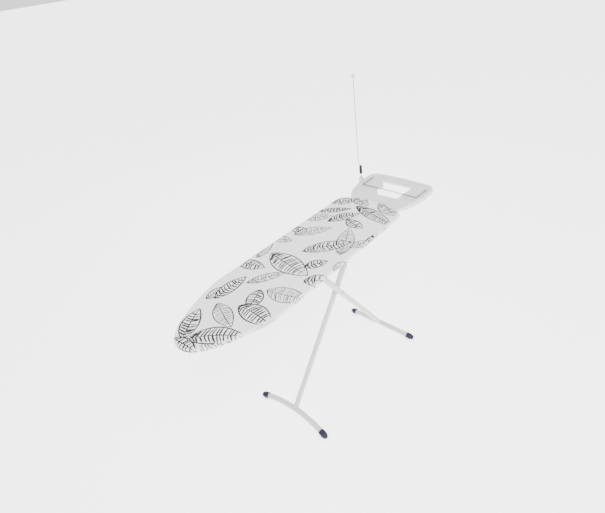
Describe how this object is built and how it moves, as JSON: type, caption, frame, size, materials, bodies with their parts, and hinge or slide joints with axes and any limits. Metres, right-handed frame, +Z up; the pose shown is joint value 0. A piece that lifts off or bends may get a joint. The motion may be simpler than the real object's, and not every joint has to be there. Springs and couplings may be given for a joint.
{
  "type": "ironing board",
  "caption": "Folding ironing board with a printed cover, crossed T-legs with arched feet, a moulded iron rest and a sprung cord mast.",
  "frame": {"origin": "bottom centre of the overall box, on the floor between the feet", "axes": "+X along the board towards the iron rest, +Y to the side that carries the cord mast, +Z up"},
  "size_m": [1.5512, 0.4636, 1.492],
  "materials": {
    "cover_cotton": "printed cotton",
    "felt": "needled felt",
    "frame_paint": "powder coat",
    "leg_paint": "satin powder coat",
    "cap_plastic": "moulded",
    "zinc_steel": "zinc plated",
    "spring_steel": "drawn wire",
    "rest_plastic": "fine texture",
    "nylon": "moulded nylon",
    "grip_plastic": "moulded"
  },
  "bodies": {
    "board": {"cover": "cover_cotton", "pad": "felt", "top_panel": "frame_paint", "nose_brace": "frame_paint", "middle_brace": "frame_paint", "rail_left": "frame_paint", "rail_right": "frame_paint", "hinge_bracket_left": "frame_paint", "hinge_bracket_right": "frame_paint", "hinge_rod": "zinc_steel", "hinge_rod_clips": "zinc_steel", "panel_rivets": "zinc_steel", "hook_base": "nylon", "hook_pin": "zinc_steel", "rest_tray": "rest_plastic", "rest_support_left": "frame_paint", "rest_support_right": "frame_paint", "rest_screws": "zinc_steel", "heel_stop_wire": "zinc_steel", "wire_sockets": "nylon", "mast_socket": "rest_plastic"},
    "long_leg": {"long_leg_upper": "leg_paint", "long_leg_lower": "leg_paint", "long_foot": "leg_paint", "long_foot_cap_left": "cap_plastic", "long_foot_cap_right": "cap_plastic", "long_head_bar": "leg_paint", "long_head_bushes": "nylon", "pivot_bolt": "zinc_steel", "pivot_nut": "zinc_steel", "pivot_spacer": "nylon"},
    "short_leg": {"short_leg_upper": "leg_paint", "short_leg_lower": "leg_paint", "short_foot": "leg_paint", "short_foot_cap_left": "cap_plastic", "short_foot_cap_right": "cap_plastic", "short_head_bar": "leg_paint", "short_head_rollers": "nylon"},
    "height_lock": {"lock_rack_left": "zinc_steel", "lock_rack_right": "zinc_steel", "lock_rod": "zinc_steel", "lock_lever": "zinc_steel", "lock_grip": "grip_plastic", "lock_spring": "spring_steel"},
    "transport_hook": {"transport_hook": "nylon"},
    "mast_base": {"mast_coil": "spring_steel"},
    "mast": {"mast_wire": "spring_steel", "mast_tip": "nylon"}
  },
  "joints": [
    {"name": "long_leg_fold", "type": "hinge", "parent": "board", "child": "long_leg", "pos_m": [0.398, 0, 0.869], "axis": [0, 1, 0], "range_deg": [0, 47.87]},
    {"name": "short_leg_cross", "type": "hinge", "parent": "long_leg", "child": "short_leg", "pos_m": [0.12699, 0, 0.5488], "axis": [0, 1, 0], "range_deg": [-99.88, 0]},
    {"name": "height_lock", "type": "hinge", "parent": "board", "child": "height_lock", "pos_m": [0.04, 0, 0.893], "axis": [0, 1, 0], "range_deg": [0, 2.8]},
    {"name": "transport_hook", "type": "hinge", "parent": "board", "child": "transport_hook", "pos_m": [-0.56, -0.02, 0.892], "axis": [1, 0, 0], "range_deg": [0, 90]},
    {"name": "mast_swivel", "type": "hinge", "parent": "board", "child": "mast_base", "pos_m": [0.661, 0.213, 0.92], "axis": [0, 0, 1], "range_deg": [-170, 170]},
    {"name": "mast_flex", "type": "hinge", "parent": "mast_base", "child": "mast", "pos_m": [0.661, 0.213, 0.999], "axis": [0, 1, 0], "range_deg": [-25, 25], "stiffness_Nm_per_rad": 2}
  ],
  "couplings": [
    {"joint": "short_leg_cross", "follows": "long_leg_fold", "ratio": -2.0854}
  ]
}
